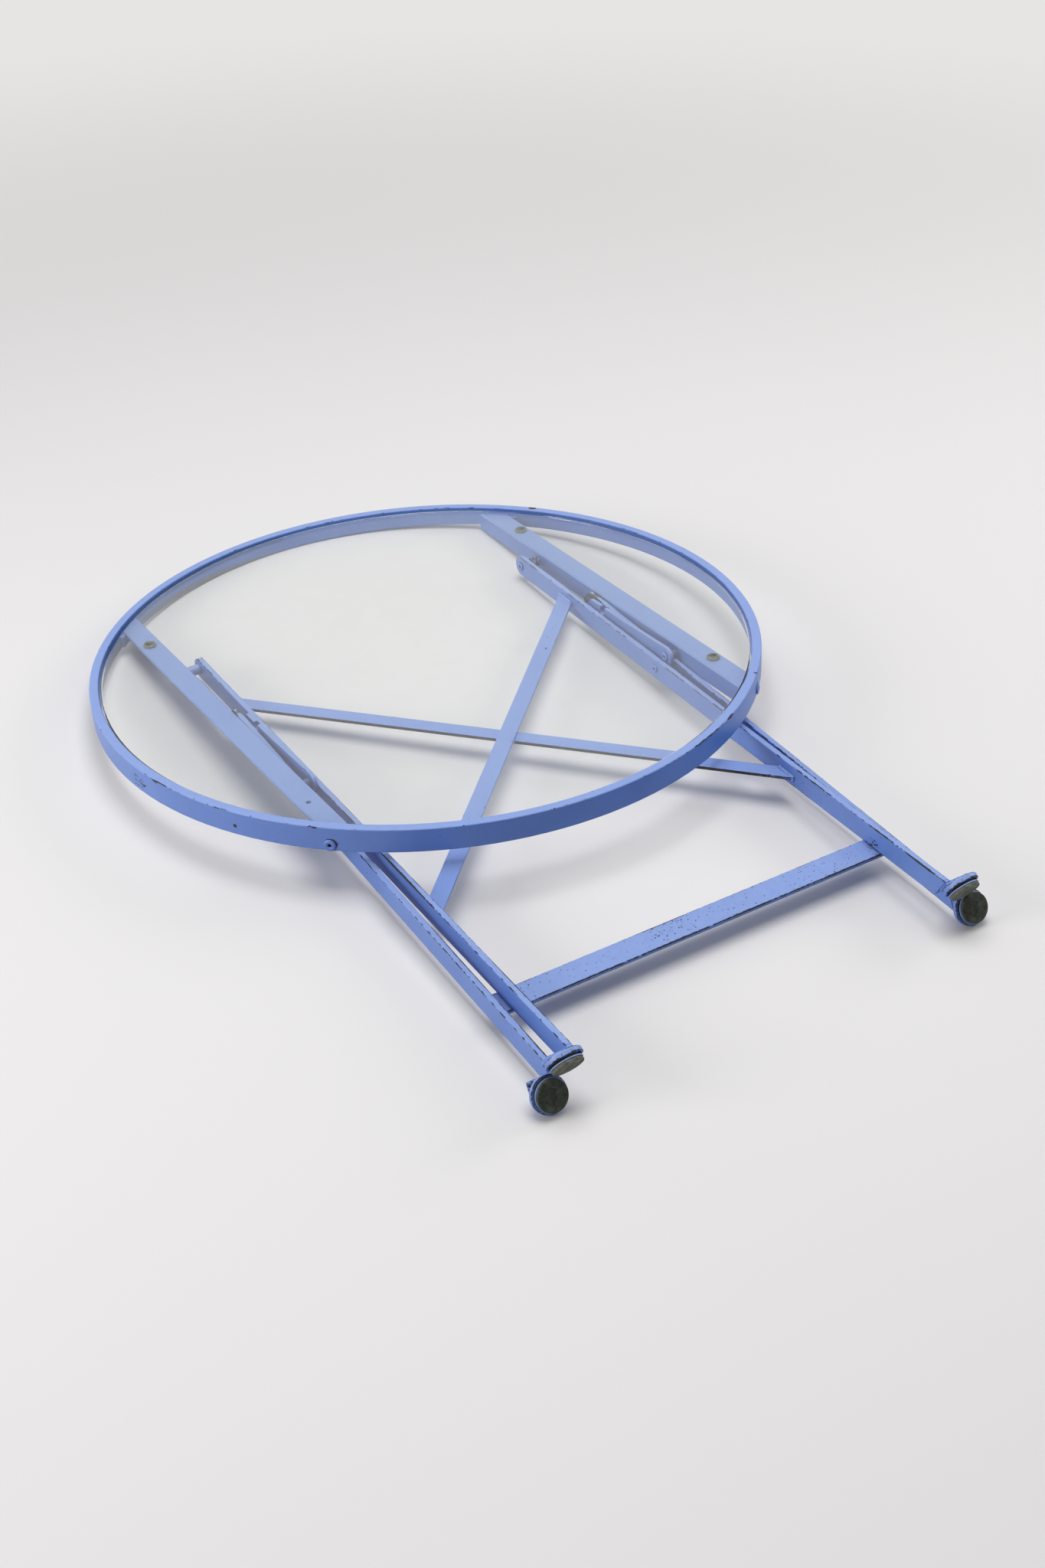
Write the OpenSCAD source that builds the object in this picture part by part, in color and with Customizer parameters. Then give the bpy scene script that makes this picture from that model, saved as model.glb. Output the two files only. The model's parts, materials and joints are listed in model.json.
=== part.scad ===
// Folding cafe table: a glass top in a steel hoop, on a double scissor of flat steel bars.
// It is modelled folded and lying flat, glass up: the hoop's far edge and the outer feet
// touch the ground. X runs along the pivots, and the feet point towards -Y.

/* [Table top] */
// Outside diameter of the hoop
ring_d = 700; // [600:10:800]
// Height of the hoop's flat bar
ring_h = 25; // [22:1:32]
// Thickness of the hoop's flat bar
ring_t = 10; // [6:0.5:14]
// Rounding of the edges of the hoop
edge_r = 1.2; // [0.5:0.1:2]
// Thickness of the glass
glass_t = 5; // [4:0.5:8]
// Radial gap between the glass and the hoop
glass_gap = 1.5; // [0.5:0.5:4]
// How far the glass lies below the top of the hoop
glass_drop = 3; // [1:0.5:5]

/* [Rails] */
// Distance from the hoop's outside, at its widest, to the inner face of a rail's web
rail_inset = 131; // [115:1:150]
// Width of a rail's flat flange, under the glass
rail_flange = 25; // [20:1:32]
// Height of a rail's upright web
rail_web = 20; // [20:1:24]
// Thickness of the angle steel of a rail
rail_t = 3; // [2:0.5:4]
// Angle round the hoop, from the rail's web to the end of its bent tab
tab_sweep = 7.5; // [6:0.5:10]
// Angle round the hoop, from the rail's web to the rivet of that tab
tab_rivet = 3.9; // [3.5:0.1:4.5]
// Height of a rubber bumper between the glass and a rail
bumper_h = 3; // [2:0.5:6]
// Diameter of a bumper
bumper_d = 14; // [10:1:18]
// Distance of a bumper from the end of its rail
bumper_inset = 57.5; // [40:0.5:90]

/* [Leg bars] */
// Height of a leg's flat bar
leg_h = 22; // [18:1:24]
// Thickness of a leg's flat bar
leg_t = 6; // [4:0.5:7]
// Rounding of a leg's long edges
leg_edge = 0.8; // [0.3:0.1:1.5]
// Length of an inner leg, from its pivot to its foot end
inner_len = 717; // [640:1:740]
// How much nearer the leg pivot the scissor rivet sits than the latch pivot does
scissor_back = 7; // [4:1:14]
// Distance from the peg to the upper end of its outer leg
peg_cover = 4; // [3.8:0.1:4.5]
// Angle between the open legs and the table top
leg_angle = 60; // [57:0.5:62]

/* [Pivots] */
// Distance of the leg pivots from the table's centre line
pivot_y = 132; // [110:1:150]
// Depth of the leg pivots under the top of the rails
pivot_drop = 12; // [11.5:0.1:13]
// Distance along the rail from the leg pivot to the latch pivot
latch_span = 275; // [270:1:290]
// How much higher the latch pivot sits than the leg pivot
latch_rise = 2; // [1:0.1:2.5]
// Diameter of a pivot rivet's shank
rivet_d = 6; // [5:0.2:6.4]
// Diameter of a rivet's hollow core
rivet_bore = 2.6; // [2:0.2:3.6]
// Diameter of a pivot rivet's rolled head
rivet_head_d = 9; // [8.6:0.2:11]
// Diameter of a hoop rivet's rolled head
hoop_rivet_head_d = 12; // [10:0.5:13]
// Height of a rivet's rolled head
rivet_head_h = 1.8; // [1.2:0.1:2]
// Outside diameter of the spacers on the latch and scissor rivets
spacer_d = 8; // [7.6:0.1:8.4]
// Outside diameter of the spacers between the inner legs and the rails
leg_spacer_d = 11; // [8:0.5:12]
// Radial clearance of a pivot rivet in the bar that turns on it
pivot_clear = 0.08; // [0.05:0.01:0.1]
// Sideways play at a pivot
side_play = 0.3; // [0.2:0.1:0.4]

/* [Latches] */
// Thickness of a latch
latch_t = 4; // [3:0.5:5]
// Radius of a latch's round end, at its pivot
latch_end_r = 10; // [8:0.5:10.2]
// Half height of a latch near its tip
latch_tip_half = 8; // [6:0.5:9]
// Reach of a latch past its notch
latch_past = 30; // [20:1:34]
// Distance from the scissor rivet to the peg, along the outer leg
peg_at = 153; // [148:0.5:153.5]
// Diameter of the peg
peg_d = 7; // [5:0.5:8]
// Clearance round the peg in the latch's notch
notch_clear = 0.6; // [0.3:0.1:1]
// Height of the seated peg above the middle line of the latch
notch_rise = 2.5; // [1:0.5:4]
// Gap between the latch and the outer leg
latch_gap = 2.5; // [1.5:0.5:4]

/* [Braces] */
// Width of a strip of the cross brace
brace_w = 17; // [12:1:22]
// Thickness of a strip of the cross brace
brace_t = 3; // [2:0.5:4]
// Distance from the rail pivot to the strip's upper end on the left leg
brace_from_left = 84; // [70:1:140]
// Distance from the rail pivot to the strip's upper end on the right leg
brace_from_right = 94; // [70:1:140]
// Distance from the rail pivot to the brace's lower ends
brace_to = 494; // [440:1:540]
// Width of the stretcher between the outer legs
stretcher_w = 26; // [20:1:32]
// Thickness of the stretcher
stretcher_t = 4; // [3:0.5:5]
// Distance from the scissor rivet to the stretcher
stretcher_at = 355; // [320:1:380]

/* [Feet] */
// Diameter of a foot's steel plate
plate_d = 34; // [31:0.5:35]
// Height of a foot plate with its rim
plate_h = 5.5; // [5:0.5:6.5]
// Diameter of a foot's rubber pad
pad_d = 29; // [26:0.5:30]
// Height of a rubber pad below its plate
pad_h = 6.5; // [6:0.5:8]
// Visible gap between a foot plate and the lip of its pad
pad_gap = 2; // [0.8:0.2:2.6]
// Thickness of the tab bent from the end of a leg
tab_t = 4; // [3:0.5:5]
// Length of that tab, measured from the leg's inner face
tab_len = 27; // [22:1:30]
// Sideways offset of a foot from the middle of its leg
foot_out = 10; // [7:1:12]
// Offset of a foot across its leg
foot_shift = 12.5; // [12:0.5:14]

/* [Hidden] */
$fn = 96;

// Clearances
seat_gap = 0.05;        // a fixed rivet or stem in its hole
stop_gap = 0.3;         // a folded bar and the piece it stops against
web_clear = 1;          // an outer leg and the rail beside it
head_room = 0.7;        // a latch rivet's head and the inner leg beside it
peg_end_gap = 0.4;      // the end of a peg and the face of the latch
rivet_tail = 1.2;       // how far a rivet's rolled tail stands out of the rail
cut_over = 1;           // how far a cutting shape runs past a face
quarter = 90;           // a quarter turn

paint_blue = [0.40, 0.55, 0.83];
pale_blue = [0.50, 0.63, 0.88];
rivet_grey = [0.30, 0.36, 0.50];
rubber = [0.22, 0.23, 0.21];

// Heights below the top of the hoop
ring_ro = ring_d / 2;
ring_ri = ring_ro - ring_t;
glass_under = -glass_drop - glass_t;
rail_top = glass_under - bumper_h;

// Sideways places of the bars on the right-hand side, from the rail inwards
rail_x = ring_ro - rail_inset;
outer_x1 = rail_x - web_clear;
outer_x0 = outer_x1 - leg_t;
latch_x1 = outer_x0 - latch_gap;
latch_x0 = latch_x1 - latch_t;
inner_x1 = latch_x0 - rivet_head_h - head_room;
inner_x0 = inner_x1 - leg_t;

// Bumpers, in the middle of a rail's flange beside the web
bumper_x = rail_x + (rail_t + rail_flange) / 2;
bumper_y = sqrt(ring_ri * ring_ri - bumper_x * bumper_x) - bumper_inset;

// Pivots, as [y, z] in the plane of the top
p1 = [pivot_y, rail_top - pivot_drop];
p2 = p1 + [-latch_span, latch_rise];
spacer_r = spacer_d / 2;
scissor_at = latch_span - scissor_back;
outer_top = peg_at + peg_cover;

// Folded angles. The stretcher stops under the inner legs, and the outer legs stop
// under the spacers of the latch pivots.
stretcher_near = stretcher_at - stretcher_w / 2;
fold_split = asin((leg_h / 2 + stop_gap) / norm([stretcher_near, stretcher_t / 2]))
    + atan2(stretcher_t / 2, stretcher_near);
stop_height = leg_h / 2 + spacer_r + stop_gap;
outer_pitch = asin((stop_height + scissor_at * sin(fold_split)) / norm([latch_span, latch_rise]))
    - atan2(latch_rise, latch_span);
inner_pitch = outer_pitch - fold_split;
p3 = p1 - scissor_at * [cos(inner_pitch), sin(inner_pitch)];
outer_len = inner_len - scissor_at;

// The open table, for the place of the notch
p3_open = p1 - scissor_at * [cos(leg_angle), sin(leg_angle)];
peg_open = p3_open + peg_at * [-cos(leg_angle), sin(leg_angle)];
notch_reach = norm(peg_open - p2);
notch_x = sqrt(notch_reach * notch_reach - notch_rise * notch_rise);
notch_dir = -atan2(peg_open[1] - p2[1], peg_open[0] - p2[0]);
leg_swing = leg_angle - inner_pitch;
outer_swing = 180 - 2 * leg_angle - fold_split;
latch_swing = notch_dir + atan2(notch_rise, notch_x);

// Feet
foot_turn = 180 - leg_angle;
plate_r = plate_d / 2;
pad_r = pad_d / 2;
pad_edge = 1;
cap_edge = 2;
rim_edge = 0.8;
plate_web = 2.5;

// Rest attitude. A foot's point in its own plane, turned into the plane of the top
function turned(p, a) = [p[0] * cos(a) - p[1] * sin(a), p[0] * sin(a) + p[1] * cos(a)];
function flipped(p) = [p[0], -p[1]];
function inner_point(p) = p1 + turned([-inner_len, 0] + turned(p, foot_turn), inner_pitch);
function outer_point(p) = p3 + turned(flipped([-outer_len, 0] + turned(p, foot_turn)), outer_pitch);
plate_high = [foot_shift + plate_r - cap_edge, tab_t + cap_edge];
plate_low = [foot_shift + plate_r - rim_edge, tab_t + plate_h - rim_edge];
pad_low = [foot_shift + pad_r - pad_edge, tab_t + plate_h + pad_h - pad_edge];
ground_feet = [[outer_point(plate_high), cap_edge], [outer_point(plate_low), rim_edge],
    [outer_point(pad_low), pad_edge]];
ring_corner = [ring_ro - edge_r, -ring_h + edge_r];
function tilt_on(foot) = let (d = ring_corner - foot[0])
    atan2(d[1], d[0]) - asin((edge_r - foot[1]) / norm(d));
tilt = max([for (foot = ground_feet) tilt_on(foot)]);
function level(p) = turned(p, -tilt);
front_feet = [[inner_point(pad_low), pad_edge], [inner_point(plate_low), rim_edge],
    [outer_point(pad_low), pad_edge], [outer_point(plate_low), rim_edge]];
y_front = min([for (foot = front_feet) level(foot[0])[0] - foot[1]]);
y_back = level([ring_ro - edge_r, -edge_r])[0] + edge_r;
lift = [-(y_back + y_front) / 2, edge_r - level(ring_corner)[1]];

echo(tilt = tilt, lift = lift, inner_pitch = inner_pitch, outer_pitch = outer_pitch);
echo(leg_swing = leg_swing, outer_swing = outer_swing, latch_swing = latch_swing);
echo(p1_row = level(p1) + lift, p2_row = level(p2) + lift, p3_row = level(p3) + lift);
echo(notch_reach = notch_reach, open_height = -p1[1] + inner_len * sin(leg_angle) + tab_t + plate_h + pad_h);

// Moves the plane of the top to its rest attitude on the ground
module resting() {
    translate([0, lift[0], lift[1]])
        rotate([-tilt, 0, 0])
            children();
}

// Frame of a leg, with +Y towards its upper end
module on_inner() {
    translate([0, p1[0], p1[1]])
        rotate([inner_pitch, 0, 0])
            children();
}

module on_outer() {
    translate([0, p3[0], p3[1]])
        rotate([outer_pitch, 0, 0])
            children();
}

// Frame of a foot at the end of a leg: +Z towards the ground when the table stands
module at_foot(len) {
    translate([0, -len, 0])
        rotate([foot_turn, 0, 0])
            children();
}

module left_side() {
    mirror([1, 0, 0])
        children();
}

// Corner points of a rectangle with rounded corners
function round_rect(x0, y0, x1, y1, r, steps = 4) = [
    for (c = [[x1 - r, y1 - r, 0], [x0 + r, y1 - r, 1], [x0 + r, y0 + r, 2], [x1 - r, y0 + r, 3]])
        for (i = [0 : steps])
            let (a = quarter * (c[2] + i / steps)) [c[0] + r * cos(a), c[1] + r * sin(a)]];

// A shape drawn in [y, z] and made thick along X, from x0
module slab(x0, thick) {
    translate([x0, 0, 0])
        rotate([90, 0, 90])
            linear_extrude(thick)
                children();
}

module hole_x(x0, len, r) {
    translate([x0 - cut_over, 0, 0])
        rotate([0, 90, 0])
            cylinder(h = len + 2 * cut_over, r = r);
}

module tube_x(x0, len, r_out, r_in) {
    translate([x0, 0, 0])
        rotate([0, 90, 0])
            difference() {
                cylinder(h = len, r = r_out);
                translate([0, 0, -cut_over]) cylinder(h = len + 2 * cut_over, r = r_in);
            }
}

// Hollow rivet along +X, with its rolled head below x = 0 and its tail past the grip
module rivet(head_d, grip, tail_h) {
    bore = rivet_bore / 2;
    shank_r = rivet_d / 2;
    head_r = head_d / 2;
    tail_r = shank_r + 0.8;
    rim = 0.5;
    steps = 8;
    roll = [for (i = [0 : steps]) let (a = 2 * quarter * (1 - i / steps))
        [(head_r + bore + (head_r - bore) * cos(a)) / 2, -rim - (rivet_head_h - rim) * sin(a)]];
    rotate([0, 90, 0])
        rotate_extrude()
            polygon(concat(roll, [[head_r, 0], [shank_r, 0], [shank_r, grip], [tail_r, grip],
                [tail_r, grip + tail_h / 2], [tail_r - 0.5, grip + tail_h], [bore, grip + tail_h]]));
}

module ring() {
    color(paint_blue)
        difference() {
            rotate_extrude($fn = 192) polygon(round_rect(ring_ri, -ring_h, ring_ro, 0, edge_r));
            for (a = rivet_angles) at_ring_rivet(a) hole_x(-ring_t, 3 * ring_t, rivet_d / 2 + seat_gap);
        }
}

module glass() {
    glass_edge = min(1.5, glass_t / 3);
    glass_r = ring_ri - glass_gap;
    color([0.80, 0.86, 0.84, 0.35])
        rotate_extrude($fn = 192)
            polygon(concat([[0, glass_under]],
                [for (i = [0 : 4]) [glass_r - glass_edge + glass_edge * sin(22.5 * i),
                    glass_under + glass_edge - glass_edge * cos(22.5 * i)]],
                [for (i = [0 : 4]) [glass_r - glass_edge + glass_edge * cos(22.5 * i),
                    -glass_drop - glass_edge + glass_edge * sin(22.5 * i)]],
                [[0, -glass_drop]]));
}

// Rails: an angle bar whose web ends in tabs that follow the hoop and are riveted to it
web_angle = acos(rail_x / ring_ri);
tab_low = max(-ring_h + edge_r, rail_top - rail_web);
tab_mid = (rail_top - rail_t + tab_low) / 2;
rivet_swing = web_angle - tab_rivet;
rivet_angles = [rivet_swing, -rivet_swing, 180 - rivet_swing, 180 + rivet_swing];
ring_grip = ring_t + rail_t;

// Frame of a hoop rivet: +X runs outwards along the radius, from the hoop's inner face
module at_ring_rivet(a) {
    rotate([0, 0, a])
        translate([ring_ri, 0, tab_mid])
            children();
}

module rail() {
    color(pale_blue)
        difference() {
            union() {
                intersection() {
                    rotate([90, 0, 0])
                        translate([0, 0, -ring_ri])
                            linear_extrude(2 * ring_ri)
                                polygon([[rail_x, rail_top - rail_web],
                                    [rail_x + rail_t, rail_top - rail_web],
                                    [rail_x + rail_t, rail_top - rail_t],
                                    [rail_x + rail_flange, rail_top - rail_t],
                                    [rail_x + rail_flange, rail_top - rail_t / 3],
                                    [rail_x + rail_flange - rail_t / 3, rail_top],
                                    [rail_x + rail_t / 2, rail_top],
                                    [rail_x, rail_top - rail_t / 2]]);
                    translate([0, 0, rail_top - rail_web - cut_over])
                        cylinder(h = rail_web + 2 * cut_over, r = ring_ri - seat_gap, $fn = 192);
                }
                for (m = [0, 1]) mirror([0, m, 0]) rail_tab();
            }
            for (a = [rivet_swing, -rivet_swing])
                at_ring_rivet(a) hole_x(-2 * rail_t, 3 * rail_t, rivet_d / 2 + seat_gap);
            for (p = [p1, p2])
                translate([rail_x, p[0], p[1]]) hole_x(0, rail_t, rivet_d / 2 + seat_gap);
            for (y = [bumper_y, -bumper_y])
                translate([bumper_x, y, rail_top - rail_t - cut_over])
                    cylinder(h = rail_t + 2 * cut_over, r = bumper_stem_r + seat_gap);
        }
}

// Curved tab along the hoop, from the end of its sweep to the middle of the web's thickness
module rail_tab() {
    tab_start = web_angle - tab_sweep;
    tab_ri = ring_ri - seat_gap - rail_t;
    tab_end = acos((rail_x + rail_t / 4) / tab_ri);
    rotate([0, 0, tab_start])
        translate([0, 0, tab_low])
            rotate_extrude(angle = tab_end - tab_start, $fn = 192)
                translate([tab_ri, 0])
                    square([rail_t, rail_top - rail_t / 2 - tab_low]);
}

bumper_stem_r = 2.6;
module bumper() {
    r = bumper_d / 2;
    dimple_r = 2.2;
    rotate_extrude()
        polygon([[0, -rail_t - 1.2], [bumper_stem_r, -rail_t - 1.2], [bumper_stem_r, 0], [r - 0.4, 0],
            [r, 0.5], [r - 0.3, bumper_h - 0.7], [r - 1.2, bumper_h], [dimple_r, bumper_h],
            [dimple_r - 0.5, bumper_h - 0.8], [0, bumper_h - 0.8]]);
}

// Three bumpers are left: the fourth hole, near the left rail's front end, is empty
module bumpers() {
    color([0.55, 0.56, 0.52])
        for (p = [[bumper_x, bumper_y], [bumper_x, -bumper_y], [-bumper_x, bumper_y]])
            translate([p[0], p[1], rail_top]) bumper();
}

// The tails of the hoop rivets lie on the hollow side of the tabs
module ring_rivets() {
    color(rivet_grey)
        for (a = rivet_angles)
            at_ring_rivet(a)
                translate([ring_t, 0, 0])
                    mirror([1, 0, 0])
                        rivet(hoop_rivet_head_d, ring_grip + 2 * seat_gap, rivet_tail);
}

module both_sides() {
    children();
    left_side() children();
}

// The leg pivot's rivet holds the inner leg and a spacer to the web of the rail
module leg_pivot_rivets() {
    head_x = inner_x0 - side_play;
    color(rivet_grey)
        both_sides()
            translate([head_x, p1[0], p1[1]])
                rivet(rivet_head_d, rail_x + rail_t - head_x, rivet_tail);
}

module leg_pivot_spacers() {
    spacer_x = inner_x1 + side_play;
    color(rivet_grey)
        both_sides()
            translate([0, p1[0], p1[1]])
                tube_x(spacer_x, rail_x - spacer_x, leg_spacer_d / 2, rivet_d / 2 + seat_gap);
}

module latch_rivets() {
    head_x = latch_x0 - side_play;
    color(rivet_grey)
        both_sides()
            translate([head_x, p2[0], p2[1]])
                rivet(rivet_head_d, rail_x + rail_t - head_x, rivet_tail);
}

module latch_spacers() {
    spacer_x = latch_x1 + side_play;
    color(rivet_grey)
        both_sides()
            translate([0, p2[0], p2[1]])
                tube_x(spacer_x, rail_x - spacer_x, spacer_r, rivet_d / 2 + seat_gap);
}

// Point of a circle about the origin that a straight line from the corner touches
function touch(corner, r) = let (a = atan2(corner[1], corner[0]) + sign(corner[1]) * acos(r / norm(corner)))
    [r * cos(a), r * sin(a)];

// A latch swings down from the rail and its notch catches the peg of the outer leg
module latch() {
    notch_r = peg_d / 2 + notch_clear;
    notch_lean = 12;
    slot_half = notch_r - 0.3;
    level_x = notch_x - 40;
    tip_x = notch_x + latch_past;
    tip_r = latch_tip_half / 2;
    top_corner = [level_x, latch_tip_half];
    low_corner = [level_x, -latch_tip_half];
    color(paint_blue)
        translate([0, p2[0], p2[1]])
            difference() {
                slab(latch_x0, latch_t)
                    difference() {
                        union() {
                            circle(r = latch_end_r);
                            polygon(concat(
                                [touch(low_corner, latch_end_r), low_corner, [tip_x - tip_r, -latch_tip_half]],
                                [for (i = [1 : 5]) [tip_x - tip_r + tip_r * sin(18 * i),
                                    -latch_tip_half + tip_r * (1 - cos(18 * i))]],
                                [[tip_x, 0], [tip_x - latch_tip_half, latch_tip_half],
                                    top_corner, touch(top_corner, latch_end_r)]));
                        }
                        translate([notch_x, notch_rise]) {
                            circle(r = notch_r);
                            rotate(notch_lean)
                                translate([-slot_half, 0])
                                    square([2 * slot_half, 2 * latch_end_r]);
                        }
                    }
                hole_x(latch_x0, latch_t, rivet_d / 2 + pivot_clear);
            }
}

// Flat bar along Y with rounded long edges, a round upper end and a slanted foot end.
// A tab bent from the foot end reaches outwards over the foot plate.
module leg_bar(x0, top, len) {
    slant = leg_h / 2 * tan(90 - leg_angle);
    bar_r = leg_h / 2;
    intersection() {
        translate([0, top + cut_over, 0])
            rotate([90, 0, 0])
                linear_extrude(top + len + leg_h + 2 * cut_over)
                    polygon(round_rect(x0, -bar_r, x0 + leg_t, bar_r, leg_edge));
        slab(x0 - cut_over, leg_t + 2 * cut_over) {
            translate([top - bar_r, 0]) circle(r = bar_r);
            polygon([[top - bar_r, bar_r], [-len - slant, bar_r], [-len + slant, -bar_r],
                [top - bar_r, -bar_r]]);
        }
    }
    at_foot(len) foot_tab(x0);
}

module foot_tab(x0) {
    bend_r = 3;
    tab_top = leg_h / 2 / sin(leg_angle) - leg_edge;
    tab_bottom = -2;
    root = 3;
    translate([0, tab_top, 0])
        rotate([90, 0, 0])
            linear_extrude(tab_top - tab_bottom)
                polygon(concat([[x0 + leg_edge, -root]],
                    [for (i = [0 : 4]) [x0 + leg_edge + bend_r * (1 - cos(22.5 * i)),
                        tab_t - bend_r + bend_r * sin(22.5 * i)]],
                    [[x0 + tab_len - 1, tab_t], [x0 + tab_len, tab_t - 1], [x0 + tab_len, 1],
                        [x0 + tab_len - 1, 0], [x0 + leg_t - leg_edge, 0], [x0 + leg_t - leg_edge, -root]]));
}

module inner_leg() {
    color(paint_blue)
        on_inner()
            difference() {
                leg_bar(inner_x0, leg_h / 2, inner_len);
                hole_x(inner_x0, leg_t, rivet_d / 2 + pivot_clear);
                translate([0, -scissor_at, 0]) hole_x(inner_x0, leg_t, rivet_d / 2 + seat_gap);
            }
}

// The outer leg is the same bar turned over, so its foot tab lies on the other edge
module outer_leg() {
    color(paint_blue)
        on_outer()
            mirror([0, 0, 1])
                difference() {
                    leg_bar(outer_x0, outer_top, outer_len);
                    hole_x(outer_x0, leg_t, rivet_d / 2 + pivot_clear);
                    translate([0, peg_at, 0]) hole_x(outer_x0, leg_t, peg_d / 2 - 1 + seat_gap);
                }
}

// Strip of the cross brace, from the right leg's upper end to the left leg's lower end
module brace_strip(z0, from) {
    run = [2 * inner_x0, brace_to - from];
    half = brace_w / 2 * norm(run) / run[0];
    color(paint_blue)
        on_inner()
            translate([0, 0, z0])
                linear_extrude(brace_t)
                    polygon([[inner_x0, -from + half], [inner_x0, -from - half],
                        [-inner_x0, -brace_to - half], [-inner_x0, -brace_to + half]]);
}

module brace_upper() {
    brace_strip(0, brace_from_right);
}

module brace_lower() {
    left_side() brace_strip(-brace_t, brace_from_left);
}

// The scissor rivet is fixed in the inner leg, and the outer leg turns on it
module scissor_rivets() {
    tail_h = 0.5;
    color(rivet_grey)
        both_sides()
            on_inner()
                translate([inner_x0, -scissor_at, 0])
                    rivet(rivet_head_d, outer_x1 + web_clear / 2 - tail_h - inner_x0, tail_h);
}

module scissor_spacers() {
    color(rivet_grey)
        both_sides()
            on_inner()
                translate([0, -scissor_at, 0])
                    tube_x(inner_x1, outer_x0 - side_play - inner_x1, spacer_r, rivet_d / 2 + seat_gap);
}

// Flat bar between the outer legs, just under the lower edges of the folded inner legs
module stretcher() {
    color(paint_blue)
        on_outer()
            translate([-outer_x0, -stretcher_at, 0])
                rotate([90, 0, 90])
                    linear_extrude(2 * outer_x0)
                        polygon(round_rect(-stretcher_w / 2, -stretcher_t / 2,
                            stretcher_w / 2, stretcher_t / 2, leg_edge));
}

// Peg on the inner face of each outer leg. It ends just short of the latch's face
module latch_pegs() {
    peg_x = latch_x1 + peg_end_gap;
    color(rivet_grey)
        both_sides()
            on_outer()
                translate([0, peg_at, 0])
                    rotate([0, 90, 0])
                        rotate_extrude()
                            polygon([[0, peg_x], [peg_d / 2 - 0.4, peg_x], [peg_d / 2, peg_x + 0.4],
                                [peg_d / 2, outer_x0], [peg_d / 2 - 1, outer_x0],
                                [peg_d / 2 - 1, outer_x1], [0, outer_x1]]);
}

// Pressed steel plate of a foot, with a rim and a hole for the stem of its pad
stem_r = 4;
module foot_plate(x0) {
    rim = 1.6;
    translate([x0 + leg_t / 2 + foot_out, foot_shift, tab_t])
        color(paint_blue)
            rotate_extrude()
                polygon(concat([[stem_r + seat_gap, 0]],
                    [for (i = [0 : 6]) [plate_r - cap_edge + cap_edge * sin(15 * i),
                        cap_edge - cap_edge * cos(15 * i)]],
                    [for (i = [0 : 4]) [plate_r - rim_edge + rim_edge * cos(22.5 * i),
                        plate_h - rim_edge + rim_edge * sin(22.5 * i)]],
                    [[plate_r - rim, plate_h], [plate_r - rim - 0.6, plate_web],
                        [stem_r + seat_gap, plate_web]]));
}

// Rubber pad: a stem in the plate, a neck, a thin lip, a groove and the tread
module foot_pad(x0) {
    neck_r = pad_r - 3.5;
    lip_r = pad_r + 0.5;
    lip_z = plate_h + pad_gap;
    lip_low = lip_z + 0.9;
    foot_z = plate_h + pad_h;
    translate([x0 + leg_t / 2 + foot_out, foot_shift, tab_t])
        color(rubber)
            rotate_extrude()
                polygon(concat([[0, 0], [stem_r, 0], [stem_r, plate_web], [neck_r, plate_web],
                        [neck_r, lip_z], [lip_r - 0.3, lip_z], [lip_r, lip_z + 0.3], [lip_r, lip_low],
                        [lip_r - 0.9, lip_low + 0.1], [lip_r - 0.9, lip_low + 0.6], [pad_r, lip_low + 0.9]],
                    [for (i = [0 : 4]) [pad_r - pad_edge + pad_edge * cos(22.5 * i),
                        foot_z - pad_edge + pad_edge * sin(22.5 * i)]],
                    [[0, foot_z]]));
}

module inner_foot_plate() {
    on_inner() at_foot(inner_len) foot_plate(inner_x0);
}

module inner_pad() {
    on_inner() at_foot(inner_len) foot_pad(inner_x0);
}

module outer_foot_plate() {
    on_outer() mirror([0, 0, 1]) at_foot(outer_len) foot_plate(outer_x0);
}

module outer_pad() {
    on_outer() mirror([0, 0, 1]) at_foot(outer_len) foot_pad(outer_x0);
}

resting() ring();
resting() glass();
resting() left_side() rail();  // rail_left
resting() rail();  // rail_right
resting() bumpers();
resting() ring_rivets();
resting() leg_pivot_rivets();
resting() leg_pivot_spacers();
resting() latch_rivets();
resting() latch_spacers();
resting() left_side() latch();  // latch_left
resting() latch();  // latch_right
resting() left_side() inner_leg();  // inner_leg_left
resting() inner_leg();  // inner_leg_right
resting() brace_upper();
resting() brace_lower();
resting() scissor_rivets();
resting() scissor_spacers();
resting() left_side() inner_foot_plate();  // inner_foot_plate_left
resting() inner_foot_plate();  // inner_foot_plate_right
resting() left_side() inner_pad();  // inner_pad_left
resting() inner_pad();  // inner_pad_right
resting() left_side() outer_leg();  // outer_leg_left
resting() outer_leg();  // outer_leg_right
resting() stretcher();
resting() latch_pegs();
resting() left_side() outer_foot_plate();  // outer_foot_plate_left
resting() outer_foot_plate();  // outer_foot_plate_right
resting() left_side() outer_pad();  // outer_pad_left
resting() outer_pad();  // outer_pad_right
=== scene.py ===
import json
import math
import random

import bmesh
import bpy
from mathutils import Matrix, Vector


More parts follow.
